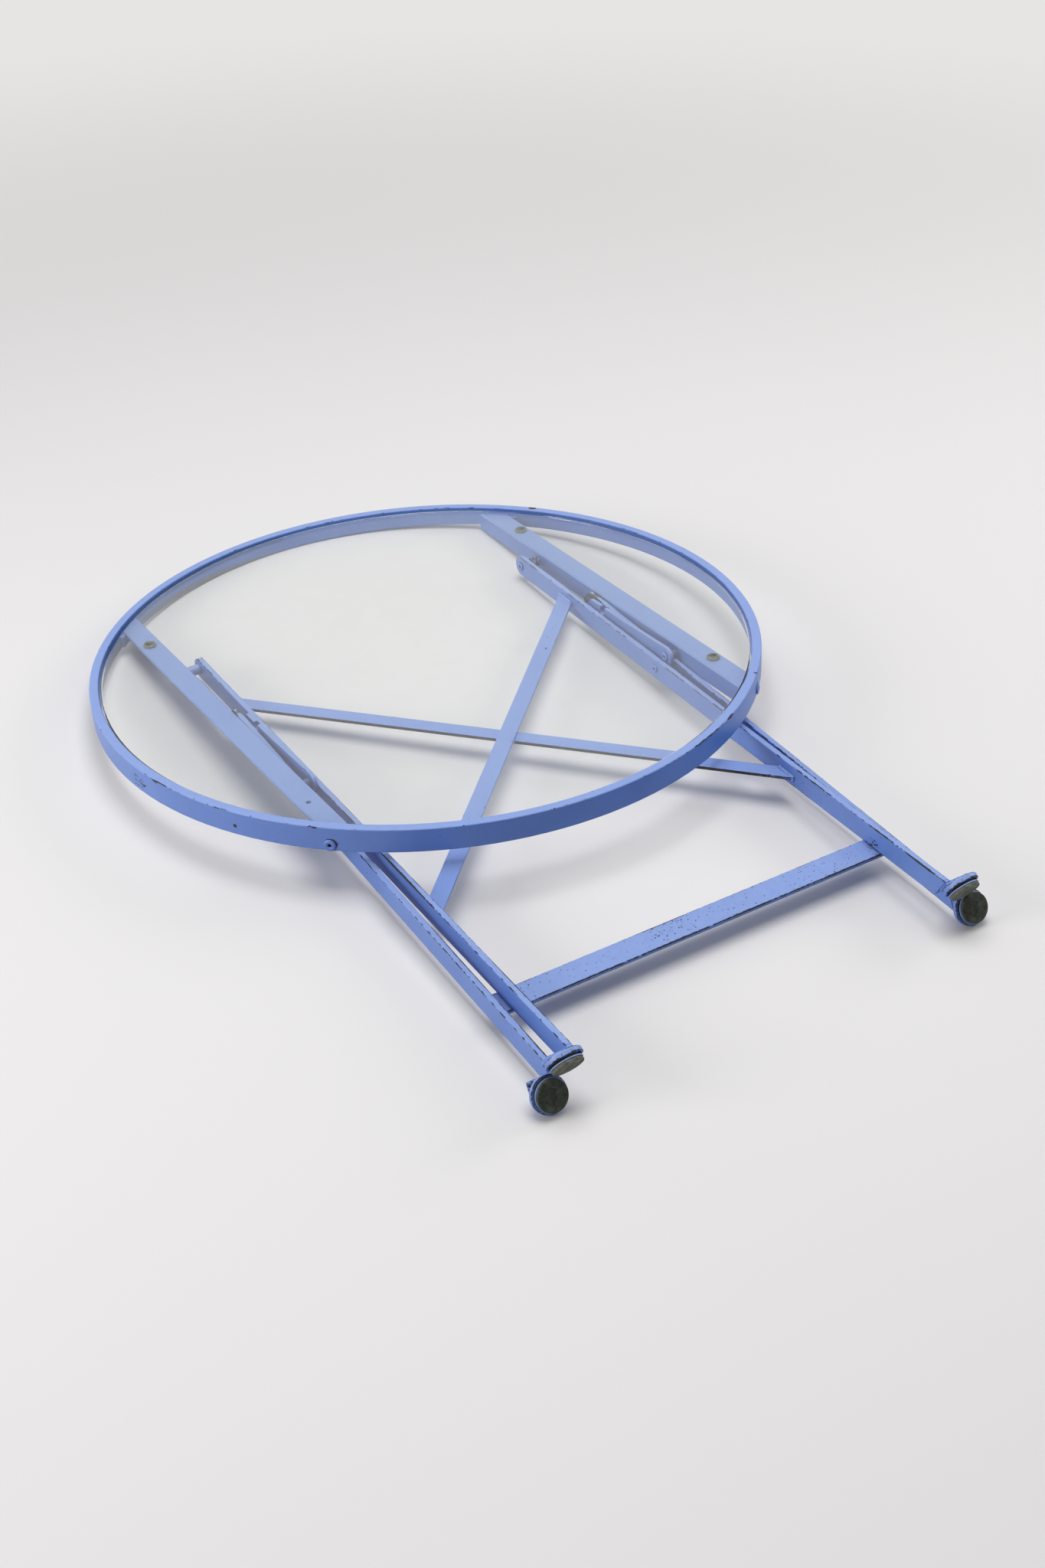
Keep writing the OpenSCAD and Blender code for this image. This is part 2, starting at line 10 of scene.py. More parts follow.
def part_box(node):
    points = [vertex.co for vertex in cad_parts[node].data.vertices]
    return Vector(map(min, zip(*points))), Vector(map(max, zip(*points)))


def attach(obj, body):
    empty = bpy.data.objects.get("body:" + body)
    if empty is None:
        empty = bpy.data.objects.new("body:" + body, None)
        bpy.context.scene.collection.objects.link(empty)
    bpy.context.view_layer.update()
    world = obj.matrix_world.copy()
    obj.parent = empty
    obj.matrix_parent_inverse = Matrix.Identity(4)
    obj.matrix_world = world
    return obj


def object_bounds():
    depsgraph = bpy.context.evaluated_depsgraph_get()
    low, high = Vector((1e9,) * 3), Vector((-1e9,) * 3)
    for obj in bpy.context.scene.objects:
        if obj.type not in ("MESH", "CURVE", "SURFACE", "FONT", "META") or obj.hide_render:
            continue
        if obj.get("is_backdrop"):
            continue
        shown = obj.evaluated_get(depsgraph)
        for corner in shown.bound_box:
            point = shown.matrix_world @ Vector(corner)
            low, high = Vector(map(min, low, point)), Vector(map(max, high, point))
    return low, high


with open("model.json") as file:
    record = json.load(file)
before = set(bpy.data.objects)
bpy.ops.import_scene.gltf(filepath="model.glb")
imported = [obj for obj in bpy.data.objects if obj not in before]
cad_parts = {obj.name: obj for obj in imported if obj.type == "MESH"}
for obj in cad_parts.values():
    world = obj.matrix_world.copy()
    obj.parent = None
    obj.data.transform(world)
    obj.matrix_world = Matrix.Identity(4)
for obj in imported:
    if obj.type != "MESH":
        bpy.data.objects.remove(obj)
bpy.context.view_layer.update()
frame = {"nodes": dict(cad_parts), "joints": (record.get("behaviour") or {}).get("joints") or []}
nodes = frame["nodes"]
mm = 0.001
print("frame loaded:", len(nodes), "nodes")

# where the three flat assemblies lie at rest: a point in metres and a turn about X in degrees
anchors = {joint["name"]: joint["pos_m"] for joint in frame["joints"]}
rest = {
    "top": ((0, 0.132523, 0.0519896), -4.44971),
    "inner": (anchors["leg_fold"], -1.72824),
    "outer": (anchors["outer_fold"], 0.50024),
}
top, inner, outer = [
    Matrix.Translation(spot) @ Matrix.Rotation(math.radians(turn), 4, "X")
    for spot, turn in rest.values()
]


def colour(code):
    # an sRGB hex value as the linear colour that the shader takes
    parts = [int(code[i:i + 2], 16) / 255 for i in (1, 3, 5)]
    return [p / 12.92 if p <= 0.04045 else ((p + 0.055) / 1.055) ** 2.4 for p in parts] + [1]


def put(tree, kind, inputs=None, **settings):
    # an input is given a value, a socket, or a node whose first output in use is meant
    made = tree.nodes.new("ShaderNode" + kind)
    for key, value in settings.items():
        setattr(made, key, value)
    for key, value in (inputs or {}).items():
        if isinstance(value, bpy.types.Node):
            value = next(socket for socket in value.outputs if socket.enabled)
        if isinstance(value, bpy.types.NodeSocket):
            tree.links.new(value, made.inputs[key])
        else:
            made.inputs[key].default_value = value
    return made


def blank(name):
    made = bpy.data.materials.new(name)
    made.use_nodes = True
    made.node_tree.nodes.clear()
    return made, made.node_tree


# camera, as the photograph was taken
camera = {
    "spot": (-0.8771, -1.5082, 1.2226), "turn": (53.956, 0.531, -31.591),
    "lens": 48, "sensor": 36, "sight": 60}
cameraData = bpy.data.cameras.new("camera")
cameraData.lens = camera["lens"]
cameraData.sensor_width = camera["sensor"]
cameraData.clip_end = camera["sight"]
cameraObject = bpy.data.objects.new("camera", cameraData)
cameraObject.location = camera["spot"]
cameraObject.rotation_euler = [math.radians(a) for a in camera["turn"]]
bpy.context.collection.objects.link(cameraObject)
bpy.context.scene.camera = cameraObject

# studio: pale paper floor, a bright dome and soft boxes above and on both sides
studio = {
    "floorSize": 40, "paper": "#DFDDDC", "shade": "#DBD9D8", "clouds": 0.8,  # clouds per metre
    "near": 0.9, "off": 2.6,  # metres over which the floor runs into the backdrop
    "domeColour": "#F4F5F8", "dome": 0.5, "dim": 0.3, "dimSide": (-0.5, -0.85, 0.1),
    "backdrop": "#E6E5E3", "ceiling": 0.65,
    "boxes": [
        {"name": "overhead", "spot": (0.15, 0.1, 2.9), "aim": (0, 0, 0),
         "size": 2.1, "watts": 54, "shows": False},
        {"name": "left", "spot": (-2.4, 0.3, 0.9), "aim": (0, 0, 0.05),
         "size": 1.2, "watts": 28, "shows": True},
        {"name": "right", "spot": (2.3, -0.3, 1.2), "aim": (0, 0, 0.05),
         "size": 1.1, "watts": 14, "shows": True},
    ],
}
scene = bpy.context.scene
scene.view_settings.view_transform = "Standard"
floorMesh = bpy.data.meshes.new("floor")
shape = bmesh.new()
bmesh.ops.create_grid(shape, x_segments=1, y_segments=1, size=studio["floorSize"] / 2)
shape.to_mesh(floorMesh)
shape.free()
floor = bpy.data.objects.new("floor", floorMesh)
bpy.context.collection.objects.link(floor)
floor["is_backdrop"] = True


def seenRays(tree):
    # 1 for what is seen straight, in a reflection or through glass, 0 for light on its way
    rays = put(tree, "LightPath").outputs
    seen = put(tree, "Math", {0: rays["Is Camera Ray"], 1: rays["Is Glossy Ray"]},
               operation="MAXIMUM")
    seen = put(tree, "Math", {0: seen, 1: rays["Is Transmission Ray"]}, operation="MAXIMUM")
    direct = put(tree, "Math", {0: rays["Diffuse Depth"], 1: 0.5}, operation="LESS_THAN")
    return put(tree, "Math", {0: seen, 1: direct}, operation="MULTIPLY")


# Seamless paper: matt, a little uneven in tone over half a metre; far off it runs into the backdrop
paper, tree = blank("matt seamless paper")
spot = put(tree, "TexCoord").outputs["Object"]
cloud = put(tree, "TexNoise", {"Vector": spot, "Scale": studio["clouds"], "Detail": 2})
tone = put(tree, "Mix", {"Factor": cloud, "A": colour(studio["shade"]),
                         "B": colour(studio["paper"])}, data_type="RGBA")
matt = put(tree, "BsdfDiffuse", {"Color": tone, "Roughness": 0})
away = put(tree, "VectorMath", {0: spot}, operation="LENGTH")
away = put(tree, "MapRange", {"Value": away, "From Min": studio["near"],
                              "From Max": studio["off"]}, interpolation_type="SMOOTHSTEP")
away = put(tree, "Math", {0: away, 1: seenRays(tree)}, operation="MULTIPLY")
plain = put(tree, "Emission", {"Color": colour(studio["backdrop"]), "Strength": 1})
both = put(tree, "MixShader", {0: away, 1: matt, 2: plain})
# clear from below: the opened legs reach under the floor, and can be looked at from there
side = put(tree, "NewGeometry").outputs["Backfacing"]
clear = put(tree, "BsdfTransparent", {"Color": colour("#FFFFFF")})
both = put(tree, "MixShader", {0: side, 1: both, 2: clear})
put(tree, "OutputMaterial", {"Surface": both})
floorMesh.materials.append(paper)

world = bpy.data.worlds.new("studio")
world.use_nodes = True
world.node_tree.nodes.clear()
scene.world = world
tree = world.node_tree
# the room behind the camera is dim, so that faces turned that way stay deep in colour
ways = put(tree, "TexCoord").outputs["Generated"]
glow = put(tree, "VectorMath", {0: ways, 1: studio["dimSide"]}, operation="DOT_PRODUCT")
glow = put(tree, "MapRange", {
    "Value": glow, "From Min": 0.1, "From Max": 0.8,
    "To Min": studio["dome"], "To Max": studio["dome"] * studio["dim"]})
dome = put(tree, "Background", {"Color": colour(studio["domeColour"]), "Strength": glow})
# the backdrop is lit low down: what gloss and glass mirror from above is the darker ceiling
height = put(tree, "SeparateXYZ", {0: ways}).outputs["Z"]
height = put(tree, "MapRange", {"Value": height, "From Min": 0.2, "From Max": 0.6,
                                "To Min": 0, "To Max": 1 - studio["ceiling"]})
mirrored = put(tree, "LightPath").outputs["Is Glossy Ray"]
lack = put(tree, "Math", {0: height, 1: mirrored}, operation="MULTIPLY")
level = put(tree, "Math", {0: 1, 1: lack}, operation="SUBTRACT")
back = put(tree, "Background", {"Color": colour(studio["backdrop"]), "Strength": level})
both = put(tree, "MixShader", {0: seenRays(tree), 1: dome, 2: back})
put(tree, "OutputWorld", {"Surface": both})
for box in studio["boxes"]:
    lamp = bpy.data.lights.new(box["name"], "AREA")
    lamp.shape = "DISK"
    lamp.size = box["size"]
    lamp.energy = box["watts"]
    holder = bpy.data.objects.new(box["name"], lamp)
    holder.location = box["spot"]
    holder.visible_glossy = box["shows"]  # the overhead box would stand in the glass as a disc
    aim = Vector(box["aim"]) - Vector(box["spot"])
    holder.rotation_euler = aim.to_track_quat("-Z", "Y").to_euler()
    bpy.context.collection.objects.link(holder)
print("studio set")


# materials

def inPlace(tree, place, origin):
    # millimetres in the plane of the piece itself
    return put(tree, "Mapping", {
        "Vector": place.outputs["Object"], "Location": origin.to_translation(),
        "Rotation": origin.to_euler(), "Scale": (mm, mm, mm)}, vector_type="TEXTURE")


def farness(tree, point, middle, half):
    # 0 in the middle of an oval place, 1 at its rim
    off = put(tree, "VectorMath", {0: point, 1: middle}, operation="SUBTRACT")
    off = put(tree, "VectorMath", {0: off, 1: half}, operation="DIVIDE")
    return put(tree, "VectorMath", {0: off}, operation="LENGTH")


# Alkyd gloss enamel brushed over old dark primer and mild steel. It dries with a slight orange
# peel and a soft gloss, and is paler on the sides turned up and to the left: partly fading in the
# sun, partly a painted sheen of the lamps. It chips along the edges down to the dark primer, drawn
# out along the bar as knocks from stacking leave them, and lets fine dark specks through where it
# went on thin.
brushed = {
    "paint": "#4A76C6", "deep": "#3D68BA", "faded": "#98ACDC", "primer": "#1D222B",
    "bare": "#3B3733", "fadeSheenSide": (-0.38, -0.05, 0.92), "unfaded": 0.03,
    "patch": 60, "drift": 90, "dust": 7, "mottle": 5, "peel": 3,  # widths in mm
    "corner": 0.4, "chipDepth": 0.2,  # mm
    "gloss": 0.36, "rough": 0.8, "ior": 1.5,
}


def enamel(name, look):
    made, tree = blank(name)
    place = put(tree, "TexCoord")
    local = inPlace(tree, place, look["place"])
    axes = put(tree, "SeparateXYZ", {0: local}).outputs
    # a bar that lies across the table, unless the section says otherwise
    wide, bar, drawn = axes["Y"], local, (1 / look["draw"], 1, 1)
    if look["section"] == "round":
        # millimetres round the rim, out from its axis, and up
        flat = put(tree, "VectorMath", {0: local, 1: (1, 1, 0)}, operation="MULTIPLY")
        wide = put(tree, "VectorMath", {0: flat}, operation="LENGTH")
        back = put(tree, "Math", {0: axes["Y"], 1: -1}, operation="MULTIPLY")
        turn = put(tree, "Math", {0: axes["X"], 1: back}, operation="ARCTAN2")
        turn = put(tree, "Math", {0: turn, 1: look["wide"][1]}, operation="MULTIPLY")
        bar = put(tree, "CombineXYZ", {0: turn, 1: wide, 2: axes["Z"]})
    elif look["section"] == "sides":
        # a pair of bars that run from back to front, left and right
        wide = put(tree, "Math", {0: axes["X"]}, operation="ABSOLUTE")
        drawn = (1, 1 / look["draw"], 1)
    # distance in mm from the nearest long edge, across the section of the bar
    gaps = []
    for value, (low, high) in ((wide, look["wide"]), (axes["Z"], look["high"])):
        off = put(tree, "Math", {0: value, 1: (low + high) / 2}, operation="SUBTRACT")
        off = put(tree, "Math", {0: off}, operation="ABSOLUTE")
        gap = put(tree, "Math", {0: (high - low) / 2, 1: off}, operation="SUBTRACT")
        gap = put(tree, "Math", {0: gap, 1: 0}, operation="MAXIMUM")
        gaps.append(put(tree, "Math", {0: gap, 1: 2}, operation="POWER"))
    edge = put(tree, "Math", {0: gaps[0], 1: gaps[1]}, operation="ADD")
    edge = put(tree, "Math", {0: edge}, operation="SQRT")
    near = put(tree, "MapRange", {
        "Value": edge, "From Min": brushed["corner"], "From Max": look["reach"],
        "To Min": look["edge"], "To Max": 0}, interpolation_type="SMOOTHSTEP")
    # patches where the paint is knocked more, the places that took the most knocks, and a few
    # places darkened as painted shade
    patch = put(tree, "TexNoise", {"Vector": local, "Scale": 1 / brushed["patch"], "Detail": 2})
    worn = put(tree, "MapRange", {
        "Value": patch, "From Min": 0.35, "From Max": 0.65,
        "To Min": look["face"] - look["patchy"], "To Max": look["face"] + look["patchy"]})
    worn = put(tree, "Math", {0: near, 1: worn}, operation="ADD")
    for middle, half, extra in look["marks"]:
        mark = put(tree, "MapRange", {
            "Value": farness(tree, bar, middle, half), "From Min": 0.5, "From Max": 1,
            "To Min": extra, "To Max": 0})
        worn = put(tree, "Math", {0: worn, 1: mark}, operation="ADD")
    # ragged chips of 1 to 4 mm, drawn out along the bar
    along = put(tree, "VectorMath", {0: bar, 1: drawn}, operation="MULTIPLY")
    grit = put(tree, "TexNoise", {
        "Vector": along, "Scale": 1 / look["grain"], "Detail": 6, "Roughness": 0.72})
    chip = put(tree, "Math", {0: grit, 1: worn}, operation="ADD")
    chip = put(tree, "MapRange", {"Value": chip, "From Min": 1, "From Max": 1.02})
    # specks about 1 mm wide in some cells of a lattice, more of them where the wear is heavier
    cells = put(tree, "TexVoronoi", {"Vector": local, "Scale": 1 / look["cell"]}).outputs
    luck = put(tree, "SeparateColor", {0: cells["Color"]})
    luck = put(tree, "Math", {0: worn, 1: 0.8, 2: luck}, operation="MULTIPLY_ADD")
    speck = put(tree, "MapRange", {
        "Value": luck, "From Min": 1.12 - look["specks"], "From Max": 1.3,
        "To Min": 0, "To Max": 0.34})
    speck = put(tree, "Math", {0: speck, 1: cells["Distance"]}, operation="SUBTRACT")
    speck = put(tree, "MapRange", {"Value": speck, "From Min": 0, "From Max": 0.03})
    chip = put(tree, "Math", {0: chip, 1: speck}, operation="MAXIMUM")
    # colour: slow drift of shade, then paler on the sides turned up and to the left, as fading and
    # painted sheen
    drift = put(tree, "TexNoise", {"Vector": local, "Scale": 1 / brushed["drift"], "Detail": 3})
    drift = put(tree, "MapRange", {"Value": drift, "From Min": 0.3, "From Max": 0.7})
    shade = put(tree, "Mix", {"Factor": drift, "A": colour(look["paint"]),
                              "B": colour(look["deep"])}, data_type="RGBA")
    # painted sheen: faces turned up and to the left are paled, partly as sun fading and partly for
    # the lamps' gloss
    fadeSheenFacing = put(tree, "VectorMath", {0: place.outputs["Normal"], 1: brushed["fadeSheenSide"]},
              operation="DOT_PRODUCT")
    dust = put(tree, "TexNoise", {
        "Vector": local, "Scale": 1 / brushed["dust"], "Detail": 5, "Roughness": 0.7})
    dust = put(tree, "MapRange", {"Value": dust, "To Min": 0.75, "To Max": 1.15})
    fade = put(tree, "MapRange", {"Value": fadeSheenFacing, "From Min": 0.1, "From Max": 0.92,
                                  "To Min": brushed["unfaded"], "To Max": look["fade"]})
    fade = put(tree, "Math", {0: fade, 1: dust}, operation="MULTIPLY")
    shade = put(tree, "Mix", {"Factor": fade, "A": shade, "B": colour(look["faded"])},
                data_type="RGBA")
    # stains, and bands of painted shade, laid over the colour
    for middle, half, stain, much in look["stains"]:
        mark = put(tree, "MapRange", {
            "Value": farness(tree, bar, middle, half), "From Min": 0.75, "From Max": 1,
            "To Min": much, "To Max": 0})
        shade = put(tree, "Mix", {"Factor": mark, "A": shade, "B": colour(stain)},
                    data_type="RGBA")
    under = put(tree, "TexNoise", {"Vector": local, "Scale": 1 / brushed["mottle"], "Detail": 3})
    under = put(tree, "Mix", {"Factor": under, "A": colour(brushed["primer"]),
                              "B": colour(look["under"])}, data_type="RGBA")
    shade = put(tree, "Mix", {"Factor": chip, "A": shade, "B": under}, data_type="RGBA")
    # chips are rough and lie below the paint, which has its orange peel
    gloss = put(tree, "MapRange", {
        "Value": chip, "To Min": brushed["gloss"], "To Max": brushed["rough"]})
    peel = put(tree, "TexNoise", {"Vector": local, "Scale": 1 / brushed["peel"], "Detail": 2})
    height = put(tree, "Math", {0: peel, 1: 0.35}, operation="MULTIPLY")
    height = put(tree, "Math", {0: height, 1: chip}, operation="SUBTRACT")
    relief = put(tree, "Bump", {
        "Height": height, "Distance": brushed["chipDepth"] * mm, "Strength": 0.9})
    skin = put(tree, "BsdfPrincipled", {
        "Base Color": shade, "Roughness": gloss, "Normal": relief, "IOR": brushed["ior"]})
    put(tree, "OutputMaterial", {"Surface": skin})
    return made


def wear(**changes):
    # usual state of a bar; each part changes what differs
    usual = {
        "edge": 0.3, "reach": 1.8, "face": 0.16, "patchy": 0.08, "grain": 2.8, "draw": 2.6,
        "specks": 0.1, "cell": 3.4, "paint": brushed["paint"], "deep": brushed["deep"],
        "faded": brushed["faded"], "fade": 0.7, "under": brushed["bare"],
        "marks": [], "stains": []}
    return usual | changes


def dress(material, *names):
    for name in names:
        mesh = nodes[name].data
        mesh.materials.clear()
        mesh.materials.append(material)


def pivot(name, place, across, reach, extra):
    # a worn place about the axis that a pair of rivets shares across the table
    low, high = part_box(name)
    middle = place.inverted() @ ((Vector(low) + Vector(high)) / 2) / mm
    half = reach / 2 if across else 400  # on one face only, or right across
    return ((across, middle.y, middle.z), (half, reach, reach), extra)


# rivets of hoop and pivots: where they are, how far their marks reach, and how strong those are
rivets = {
    "round": [-831, -268.5, 268.5, 831], "high": -18.5,  # mm round the rim, and up
    "ring": 7.5, "ringWear": 0.6, "bore": 2.4, "boreShade": 0.9}

# a mark is the middle, half size and strength of a worn place, or of a place darkened as painted
# shade, in mm; a stain has its colour too, and so has a band of painted shade.
# On the hoop these run round, out and up.
hoop = wear(
    place=top, section="round", wide=(340, 350), high=(-25, 0), edge=0.22, face=0.15,
    stains=[
        # painted shade: a navy band under the top edge of the inner wall, on the left
        ((-760, 340, -7), (520, 3, 8.5), "#24508F", 0.85),
        ((-720, 340, -25), (420, 3, 10), "#66675F", 0.8),
        # painted shade: a navy band under the top edge of the inner wall, on the right
        ((800, 340, -4), (560, 3, 4), "#2B58A0", 0.6)],
    marks=[
        ((-502, 350, -14), (26, 5, 11), 0.34), ((-366, 350, -15.4), (2.5, 4, 2.5), 0.9),
        ((121, 350, -1.6), (75, 4, 2.2), 0.22), ((178, 350, -1.5), (9, 4, 2.4), 0.3),
        ((-455, 350, -1.8), (36, 4, 2.6), 0.26), ((-380, 350, -1.6), (24, 4, 2), 0.22),
        ((-286, 350, -1.5), (8, 4, 2.2), 0.3), ((136, 340, -0.6), (52, 1.3, 2), 0.36),
        ((255, 340, -0.6), (24, 1.3, 2), 0.36), ((-242, 340, -0.6), (32, 1.3, 2), 0.3),
        ((575, 350, 0), (3, 3, 3), 0.45), ((267, 348, 0), (2.2, 2.2, 2.2), 0.5),
        ((791, 347, 0), (6, 3, 2), 0.9)]
    + [((spot + 1.2, 350, rivets["high"] + 0.8), (9, 1.5, 9), 0.5) for spot in rivets["round"]])
dress(enamel("hoop brushed enamel", hoop), "ring")

rail = wear(place=top, section="sides", wide=(219, 244), high=(-31, -11), edge=0.18,
            specks=0.04, faded="#8EA2CB", fade=0.62)
dress(enamel("rail brushed enamel", rail), "rail_left", "rail_right")

innerFace = 197  # mm from the middle to the inner legs
innerLeg = wear(
    place=inner, section="sides", wide=(innerFace, 203), high=(-11, 11), edge=0.34,
    marks=[
        ((197.4, -690, 11), (2.2, 24, 2.6), 0.28), ((197.4, -640, 11), (2, 34, 2), 0.1),
        ((-200, -712, 9), (9, 12, 8), 0.14), ((-203, -440, 11), (2.6, 48, 3), 0.3),
        ((-197.4, -640, 11), (2.4, 70, 2.6), 0.2), ((-200, 4, 8), (9, 14, 9), 0.14),
        # painted shade: the right inner leg's inner face is darkened where the stretcher passes
        # under it
        ((197, -623, -5), (3, 17, 7), 0.3)]
    + [pivot(name, inner, side * innerFace, rivets["ring"], rivets["ringWear"])
       for name in ("leg_pivot_rivets", "scissor_rivets") for side in (-1, 1)])
dress(enamel("inner leg brushed enamel", innerLeg), "inner_leg_left", "inner_leg_right")

outerFace = 212  # mm from the middle to the outer legs
outerLeg = wear(
    place=outer, section="sides", wide=(outerFace, 218), high=(-11, 11), edge=0.34,
    marks=[
        ((215, 146, 6), (14, 26, 14), 0.4), ((-215, 150, 6), (14, 18, 14), 0.3),
        ((-212.4, -426, 11), (1.8, 34, 2.8), 0.34), ((-212.4, -300, 11), (1.8, 60, 2.6), 0.2),
        # painted shade: the first mark on this line darkens the right leg's inner face where the
        # stretcher ends
        ((212.4, -344, 2), (2.5, 16, 9), 0.3), ((-237, -447, 0), (11, 14, 14), 0.34),
        ((237, -447, 0), (11, 14, 14), 0.34)])
dress(enamel("outer leg brushed enamel", outerLeg), "outer_leg_left", "outer_leg_right")

latch = wear(
    place=top, section="sides", wide=(205.5, 209.5), high=(-31, -11), edge=0.2, faded="#8EA2CB",
    marks=[
        ((207.5, 4, -21), (7, 9, 12), 0.26), ((207.5, -23, -16), (7, 8, 7), 0.22),
        ((-207.5, 4, -21), (7, 9, 12), 0.22), ((-207.5, -23, -16), (7, 8, 7), 0.22)]
    + [pivot("latch_rivets", top, side * 205.5, rivets["ring"], rivets["ringWear"])
       for side in (-1, 1)])
dress(enamel("latch brushed enamel", latch), "latch_left", "latch_right")

stretcher = wear(
    place=outer, section="across", wide=(-368, -342), high=(-2, 2), face=0.2, draw=1.6,
    specks=0.5, cell=2.6,
    marks=[
        ((0, -368, 2), (300, 2.6, 2.6), 0.12), ((-27, -350, 2), (60, 16, 3), 0.12),
        ((90, -362, 2), (110, 9, 3), 0.08), ((-140, -352, 2), (70, 16, 3), 0.05),
        ((193, -355, 2), (6, 16, 4), 0.22)])
dress(enamel("stretcher brushed enamel", stretcher), "stretcher")

# strips of the cross brace: which leg they start on, how far down they start and end, and their
# underside; the near edge of the lower one is darkened along its whole length
brace = {"half": 8.5, "thick": 3}
strips = {
    "brace_upper": {"side": 1, "from": 94, "to": 494, "low": 0, "marks": [
        ((171, -2, 3), (3, 2.4, 2), 0.4), ((195, 2, 3), (2, 2, 2), 0.4),
        ((278, -4, 3), (4, 4, 3), 0.4)]},
    "brace_lower": {"side": -1, "from": 84, "to": 494, "low": -3, "marks": [
        ((0, -8.6, -1.5), (420, 0.9, 6), 0.5)]},
}
for name, strip in strips.items():
    rise = strip["to"] - strip["from"]
    lean = strip["side"] * math.atan2(rise, 2 * innerFace)
    middle = Matrix.Translation((0, -(strip["to"] + strip["from"]) / 2 * mm, 0))
    look = wear(
        place=inner @ middle @ Matrix.Rotation(lean, 4, "Z"), section="across",
        wide=(-brace["half"], brace["half"]), high=(strip["low"], strip["low"] + brace["thick"]),
        edge=0.18, fade=0.58, marks=strip["marks"])
    dress(enamel(name.replace("_", " ") + " brushed enamel", look), name)

# feet: how far down and out on its leg each one sits, in mm, and the turn that lays its plate
# flat when the table is open
feet = {
    "len": {"inner": 717, "outer": 449}, "out": {"inner": 210, "outer": 225},
    "shift": 12.5, "tab": 4, "turn": 120}
footPlaces = {}
for leg, base in (("inner", inner), ("outer", outer)):
    flip = Matrix.Scale(-1, 4, (0, 0, 1)) if leg == "outer" else Matrix.Identity(4)
    for side, sign in (("left", -1), ("right", 1)):
        spot = (sign * feet["out"][leg] * mm, -feet["len"][leg] * mm, 0)
        end = base @ flip @ Matrix.Translation(spot)
        end = end @ Matrix.Rotation(math.radians(feet["turn"]), 4, "X")
        end = end @ Matrix.Translation((0, feet["shift"] * mm, feet["tab"] * mm))
        footPlaces[leg, side] = end


def squared(place):
    # the same place without its mirroring, which a Mapping node can't take
    return place @ Matrix.Scale(-1, 4, (1, 0, 0)) if place.determinant() < 0 else place


for (leg, side), place in footPlaces.items():
    # the crowns and rims have rubbed through to brown
    plate = wear(place=squared(place), section="round", wide=(-17, 17), high=(0, 5.5),
                 edge=0.36, reach=2.4, face=0.22, grain=2.6, draw=1.5, under="#4A4038")
    dress(enamel(f"{leg} {side} foot plate brushed enamel", plate), f"{leg}_foot_plate_{side}")

# rivets and spacers were painted over in place, and handling has worn them down; the bores and
# their rims are darkened as painted shade
small = wear(place=top, section="sides", wide=(0, 900), high=(-200, 200), edge=0, grain=2,
             fade=0.5)
hoopHeads = small | {"section": "round", "wide": (0, 350), "marks": [
    ((spot, 350, rivets["high"]), (rivets["bore"], 12, rivets["bore"]), rivets["boreShade"])
    for spot in rivets["round"]]}
dress(enamel("hoop rivet brushed enamel", hoopHeads), "ring_rivets")
pivotNames = ("leg_pivot_rivets", "latch_rivets", "scissor_rivets")
pivotHeads = small | {"marks": [
    pivot(name, top, 0, rivets["bore"], rivets["boreShade"]) for name in pivotNames]}
dress(enamel("pivot rivet brushed enamel", pivotHeads), *pivotNames)
# painted shade: these spacers sit between parts, and a darker, greyer blue stands in for their
# shade
shadedSpacers = small | {"paint": "#3C5685", "deep": "#2E4068", "face": 0.3, "fade": 0.15}
dress(enamel("spacer worn and shaded enamel", shadedSpacers), "latch_spacers", "scissor_spacers")
# of the spacers on the leg pivots the left one is pale blue and the right one is darkened
legSpacers = small | {"paint": "#7F98CC", "deep": "#6C88C4", "marks": [
    pivot("leg_pivot_spacers", top, 211, 30, 0.34)]}
dress(enamel("leg spacer brushed enamel", legSpacers), "leg_pivot_spacers")

# Mild steel turned and left unpainted, browned by handling: dark, dull, faintly grained
steel = {"dark": "#3A4356", "pale": "#55606F", "grains": 300,  # grains per metre
         "gloss": (0.4, 0.7), "metal": 0.6}
made, tree = blank("browned mild steel")
place = put(tree, "TexCoord")
grain = put(tree, "TexNoise", {
    "Vector": place.outputs["Object"], "Scale": steel["grains"], "Detail": 3})
tone = put(tree, "Mix", {"Factor": grain, "A": colour(steel["dark"]),
                         "B": colour(steel["pale"])}, data_type="RGBA")
gloss = put(tree, "MapRange", {
    "Value": grain, "To Min": steel["gloss"][0], "To Max": steel["gloss"][1]})
skin = put(tree, "BsdfPrincipled", {
    "Base Color": tone, "Metallic": steel["metal"], "Roughness": gloss})
put(tree, "OutputMaterial", {"Surface": skin})
dress(made, "latch_pegs")


# Moulded rubber: matt, dusty on the flats, scuffed where it rubs. The brush ran onto the lips of
# the pads, and on the bumpers a dark oval is painted shade for their dimple.
moulded = {"paint": "#6E86B4", "smears": 6, "grit": 1.2, "gritDepth": 0.2,  # mm
           "rough": 0.8, "shine": 0.35}


